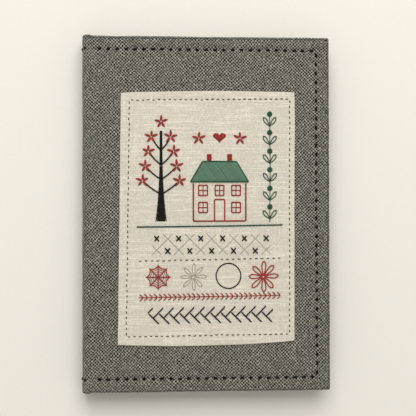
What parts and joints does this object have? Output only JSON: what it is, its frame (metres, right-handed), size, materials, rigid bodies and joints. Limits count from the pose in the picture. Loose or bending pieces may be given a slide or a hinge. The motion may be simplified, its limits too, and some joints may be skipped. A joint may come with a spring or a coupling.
{
  "type": "needle case",
  "caption": "Book-form needle case: stiff cloth covers on a soft spine, felt leaves holding needles, and a stitched linen patch on the front.",
  "frame": {"origin": "centre of the flat outer face of the back cover, on which the closed case lies", "axes": "+X from the spine to the fore edge, +Y from tail to head, +Z out of the front cover"},
  "size_m": [0.102, 0.146, 0.0133],
  "materials": {
    "wool_cloth": "heathered grey wool weave",
    "stiffener_board": "plain millboard",
    "lining_cotton": "plain woven cotton",
    "edge_thread": "waxed linen thread",
    "felt_wool": "wool felt",
    "binding_linen": "linen thread",
    "needle_steel": "polished nickel-plated steel",
    "patch_linen": "natural linen",
    "hem_thread": "dark brown cotton floss",
    "black_floss": "stranded cotton",
    "red_floss": "stranded cotton",
    "green_floss": "stranded cotton",
    "deep_green_floss": "stranded cotton",
    "grey_floss": "stranded cotton"
  },
  "bodies": {
    "back_cover": {"back_cloth": "wool_cloth", "back_board": "stiffener_board", "back_lining": "lining_cotton", "back_edge_stitching": "edge_thread"},
    "spine": {"spine_cloth": "wool_cloth", "spine_board": "stiffener_board", "spine_lining": "lining_cotton", "spine_stitching": "edge_thread", "outer_felt_fold": "felt_wool", "inner_felt_fold": "felt_wool", "binding_thread": "binding_linen"},
    "front_cover": {"front_cloth": "wool_cloth", "front_board": "stiffener_board", "front_lining": "lining_cotton", "front_edge_stitching": "edge_thread", "linen_patch": "patch_linen", "patch_hem_stitching": "hem_thread", "tree_satin": "black_floss", "blossom_petals": "red_floss", "house_outline": "red_floss", "roof_outline": "green_floss", "roof_satin": "green_floss", "chimney_satin": "red_floss", "heart_satin": "red_floss", "vine_stem": "deep_green_floss", "vine_knots": "deep_green_floss", "vine_leaves": "deep_green_floss", "ground_line": "deep_green_floss", "trellis_threads": "grey_floss", "cross_stitches": "black_floss", "divider_stitches": "hem_thread", "web_wheel": "red_floss", "pale_daisy": "grey_floss", "ring_stitch": "black_floss", "red_daisy": "red_floss", "red_feather_band": "red_floss", "black_feather_band": "black_floss"},
    "leaf_1": {"felt_leaf_1": "felt_wool"},
    "leaf_2": {"felt_leaf_2": "felt_wool"},
    "leaf_3": {"felt_leaf_3": "felt_wool"},
    "leaf_4": {"felt_leaf_4": "felt_wool"},
    "sharp_needle_1": {"sharp_needle_1": "needle_steel"},
    "sharp_needle_2": {"sharp_needle_2": "needle_steel"},
    "sharp_needle_3": {"sharp_needle_3": "needle_steel"},
    "sharp_needle_4": {"sharp_needle_4": "needle_steel"},
    "darning_needle_1": {"darning_needle_1": "needle_steel"},
    "darning_needle_2": {"darning_needle_2": "needle_steel"}
  },
  "joints": [
    {"name": "spine_hinge", "type": "hinge", "parent": "back_cover", "child": "spine", "pos_m": [-0.04996, 0, 0.00104], "axis": [0, -1, 0], "range_deg": [0, 90]},
    {"name": "front_hinge", "type": "hinge", "parent": "spine", "child": "front_cover", "pos_m": [-0.04996, 0, 0.01096], "axis": [0, -1, 0], "range_deg": [0, 90]},
    {"name": "leaf_1_hinge", "type": "hinge", "parent": "spine", "child": "leaf_1", "pos_m": [-0.0441, 0, 0.0079], "axis": [0, -1, 0], "range_deg": [-28.5, 0]},
    {"name": "leaf_2_hinge", "type": "hinge", "parent": "spine", "child": "leaf_2", "pos_m": [-0.0448, 0, 0.00575], "axis": [0, -1, 0], "range_deg": [-48.5, 0]},
    {"name": "leaf_3_hinge", "type": "hinge", "parent": "spine", "child": "leaf_3", "pos_m": [-0.0455, 0, 0.00435], "axis": [0, -1, 0], "range_deg": [-66.5, 0]},
    {"name": "leaf_4_hinge", "type": "hinge", "parent": "spine", "child": "leaf_4", "pos_m": [-0.0462, 0, 0.00315], "axis": [0, -1, 0], "range_deg": [-82.5, 0]},
    {"name": "sharp_needle_1_slide", "type": "slide", "parent": "leaf_1", "child": "sharp_needle_1", "axis": [0, 1, 0], "range_m": [0, 0.022]},
    {"name": "sharp_needle_2_slide", "type": "slide", "parent": "leaf_1", "child": "sharp_needle_2", "axis": [0, 1, 0], "range_m": [0, 0.024]},
    {"name": "sharp_needle_3_slide", "type": "slide", "parent": "leaf_1", "child": "sharp_needle_3", "axis": [0, 1, 0], "range_m": [0, 0.026]},
    {"name": "sharp_needle_4_slide", "type": "slide", "parent": "leaf_1", "child": "sharp_needle_4", "axis": [0, 1, 0], "range_m": [0, 0.028]},
    {"name": "darning_needle_1_slide", "type": "slide", "parent": "leaf_2", "child": "darning_needle_1", "axis": [0, 1, 0], "range_m": [0, 0.032]},
    {"name": "darning_needle_2_slide", "type": "slide", "parent": "leaf_2", "child": "darning_needle_2", "axis": [0, 1, 0], "range_m": [0, 0.034]}
  ],
  "couplings": [
    {"joint": "front_hinge", "follows": "spine_hinge", "ratio": 1},
    {"joint": "leaf_1_hinge", "follows": "spine_hinge", "ratio": -0.31111},
    {"joint": "leaf_2_hinge", "follows": "spine_hinge", "ratio": -0.53333},
    {"joint": "leaf_3_hinge", "follows": "spine_hinge", "ratio": -0.73333},
    {"joint": "leaf_4_hinge", "follows": "spine_hinge", "ratio": -0.91111}
  ]
}
